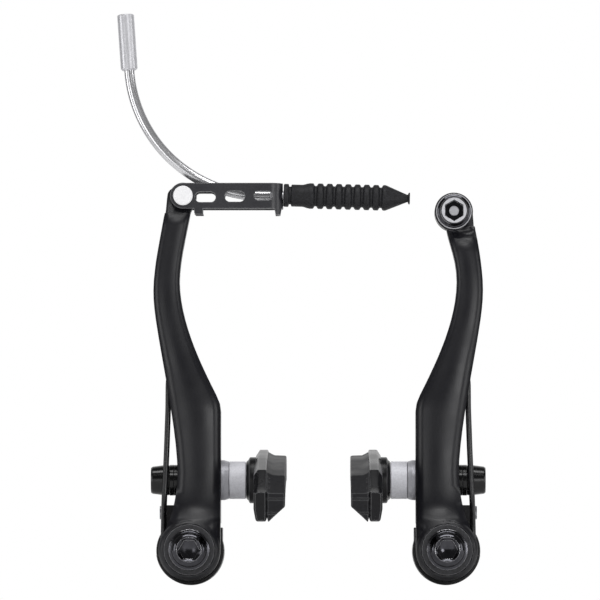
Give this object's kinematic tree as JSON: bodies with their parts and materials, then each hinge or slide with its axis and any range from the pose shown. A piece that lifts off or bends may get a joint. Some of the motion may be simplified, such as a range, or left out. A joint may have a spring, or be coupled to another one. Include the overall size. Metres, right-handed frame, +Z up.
{
  "type": "bicycle v-brake",
  "caption": "Linear-pull bicycle rim brake: sprung arms swing on the frame's bosses, with curved pads on adjustable posts and a folded link that holds a bent cable guide and boot.",
  "frame": {"origin": "midway between the pivot axes, in the plane of the brake cable", "axes": "+X across the wheel, towards the arm that carries the cable bolt; +Y back along the pivots, towards the bicycle frame; +Z up along the arms"},
  "size_m": [0.1152, 0.0698, 0.1786],
  "materials": {
    "arm_black": "satin black anodised",
    "bolt_black": "glossy black",
    "bushing_steel": "turned",
    "washer_dark": "textured black",
    "spring_black": "black coated wire",
    "case_black": "satin moulded",
    "screw_steel": "plated",
    "nut_black": "glossy black",
    "washer_silver": "plated",
    "spacer_silver": "blasted",
    "holder_black": "satin black",
    "pad_rubber": "moulded",
    "link_grey": "satin charcoal",
    "pin_steel": "satin",
    "pipe_chrome": "polished",
    "liner_white": "smooth",
    "ferrule_silver": "satin",
    "boot_rubber": "moulded bellows",
    "anchor_steel": "plated"
  },
  "bodies": {
    "pivots": {"left_pivot_bolt": "bolt_black", "right_pivot_bolt": "bolt_black", "left_pivot_bushing": "bushing_steel", "right_pivot_bushing": "bushing_steel", "left_spring_case": "case_black", "right_spring_case": "case_black", "left_locating_pin": "bushing_steel", "right_locating_pin": "bushing_steel"},
    "left_screw": {"left_tension_screw": "screw_steel"},
    "right_screw": {"right_tension_screw": "screw_steel"},
    "left_lever": {"left_arm": "arm_black", "left_dust_washer": "washer_dark", "left_return_spring": "spring_black"},
    "right_lever": {"right_arm": "arm_black", "right_dust_washer": "washer_dark", "right_return_spring": "spring_black", "cable_bolt": "bolt_black", "cable_washer": "anchor_steel"},
    "link": {"link_bracket": "link_grey", "link_pin": "pin_steel"},
    "guide": {"guide_pipe": "pipe_chrome", "pipe_liner": "liner_white", "pipe_ferrule": "ferrule_silver", "pipe_tip": "pipe_chrome", "cable_boot": "boot_rubber"},
    "left_clamp": {"left_pad_nut": "nut_black", "left_outer_cup_washer": "nut_black", "left_outer_dome_washer": "nut_black", "left_inner_dome_washer": "washer_silver", "left_cup_spacer": "spacer_silver"},
    "right_clamp": {"right_pad_nut": "nut_black", "right_outer_cup_washer": "nut_black", "right_outer_dome_washer": "nut_black", "right_inner_dome_washer": "washer_silver", "right_cup_spacer": "spacer_silver"},
    "left_pad": {"left_pad_post": "screw_steel", "left_pad_holder": "holder_black", "left_pad_rubber": "pad_rubber"},
    "right_pad": {"right_pad_post": "screw_steel", "right_pad_holder": "holder_black", "right_pad_rubber": "pad_rubber"}
  },
  "joints": [
    {"name": "left_pivot", "type": "hinge", "parent": "pivots", "child": "left_lever", "pos_m": [-0.04, 0, 0], "axis": [0, 1, 0], "range_deg": [-20, 1.5], "stiffness_Nm_per_rad": 1},
    {"name": "right_pivot", "type": "hinge", "parent": "pivots", "child": "right_lever", "pos_m": [0.04, 0, 0], "axis": [0, -1, 0], "range_deg": [-20, 1.5], "stiffness_Nm_per_rad": 1},
    {"name": "left_tension", "type": "hinge", "parent": "pivots", "child": "left_screw", "pos_m": [-0.0461, 0.0118, 0.0121], "axis": [1, 0, 0], "range_deg": [-720, 720]},
    {"name": "right_tension", "type": "hinge", "parent": "pivots", "child": "right_screw", "pos_m": [0.0461, 0.0118, 0.0121], "axis": [-1, 0, 0], "range_deg": [-720, 720]},
    {"name": "link_pivot", "type": "hinge", "parent": "left_lever", "child": "link", "pos_m": [-0.0422, 0, 0.1106], "axis": [0, -1, 0], "range_deg": [0, 70]},
    {"name": "guide_swivel", "type": "hinge", "parent": "link", "child": "guide", "pos_m": [-0.0115, 0, 0.1108], "axis": [1, 0, 0], "range_deg": [-8, 8]},
    {"name": "left_pad_height", "type": "slide", "parent": "left_lever", "child": "left_clamp", "axis": [0, 0, 1], "range_m": [-0.004, 0.004]},
    {"name": "right_pad_height", "type": "slide", "parent": "right_lever", "child": "right_clamp", "axis": [0, 0, 1], "range_m": [-0.004, 0.004]},
    {"name": "left_pad_tilt", "type": "hinge", "parent": "left_clamp", "child": "left_pad", "pos_m": [-0.04, 0.003, 0.022], "axis": [1, 0, 0], "range_deg": [-10, 10]},
    {"name": "right_pad_tilt", "type": "hinge", "parent": "right_clamp", "child": "right_pad", "pos_m": [0.04, 0.003, 0.022], "axis": [1, 0, 0], "range_deg": [-10, 10]}
  ]
}
